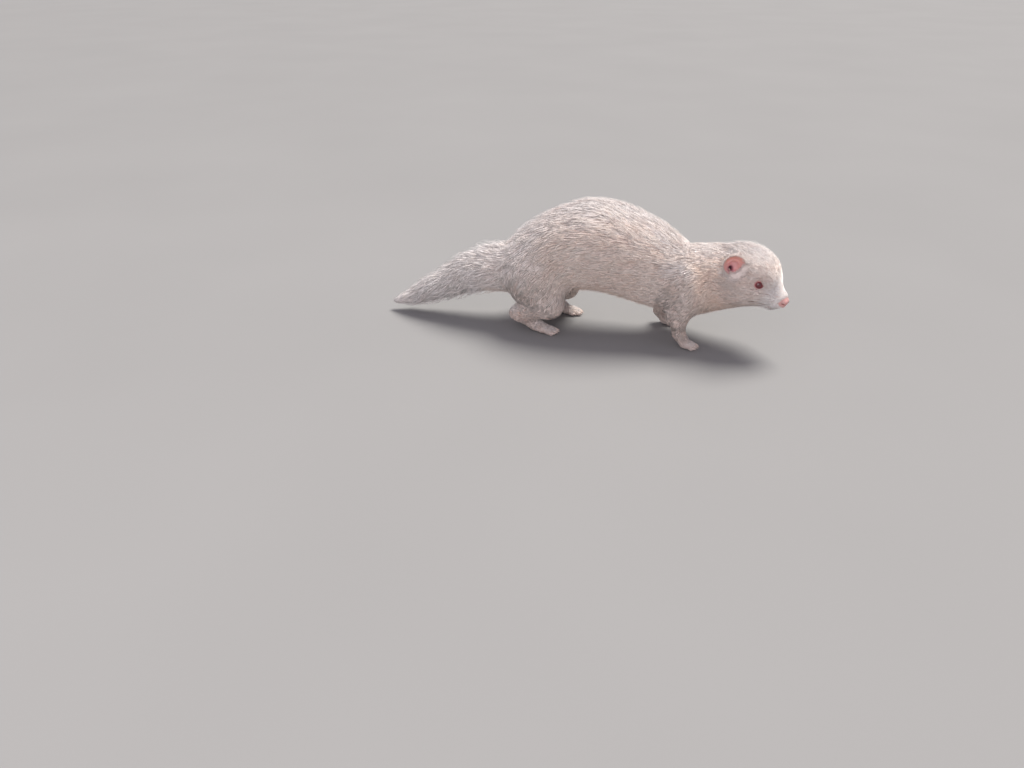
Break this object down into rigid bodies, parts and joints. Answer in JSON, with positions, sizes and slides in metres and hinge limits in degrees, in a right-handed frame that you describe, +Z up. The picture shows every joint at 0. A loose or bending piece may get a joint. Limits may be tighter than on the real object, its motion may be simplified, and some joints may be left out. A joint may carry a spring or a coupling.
{
  "type": "ferret model",
  "caption": "Still, life-size albino ferret in a slow walk, back arched and head low, standing on small foot flats.",
  "frame": {"origin": "on the floor under the middle of the whole outline", "axes": "+X toward the nose, +Y toward the animal's left, +Z up"},
  "size_m": [0.4046, 0.087, 0.1339],
  "materials": {
    "coat": "cream white fur",
    "ear": "thin pink skin with fine down",
    "nose": "moist pink skin",
    "eye": "dark ruby, wet gloss"
  },
  "bodies": {
    "root": {"head": "coat", "nose": "nose", "ear_right": "ear", "ear_left": "ear", "eye_right": "eye", "eye_left": "eye", "neck": "coat", "chest": "coat", "belly": "coat", "rump": "coat", "foreleg_right": "coat", "foreleg_left": "coat", "hindleg_right": "coat", "hindleg_left": "coat", "forepaw_right": "coat", "forepaw_left": "coat", "hindpaw_right": "coat", "hindpaw_left": "coat", "tail": "coat"}
  },
  "joints": []
}
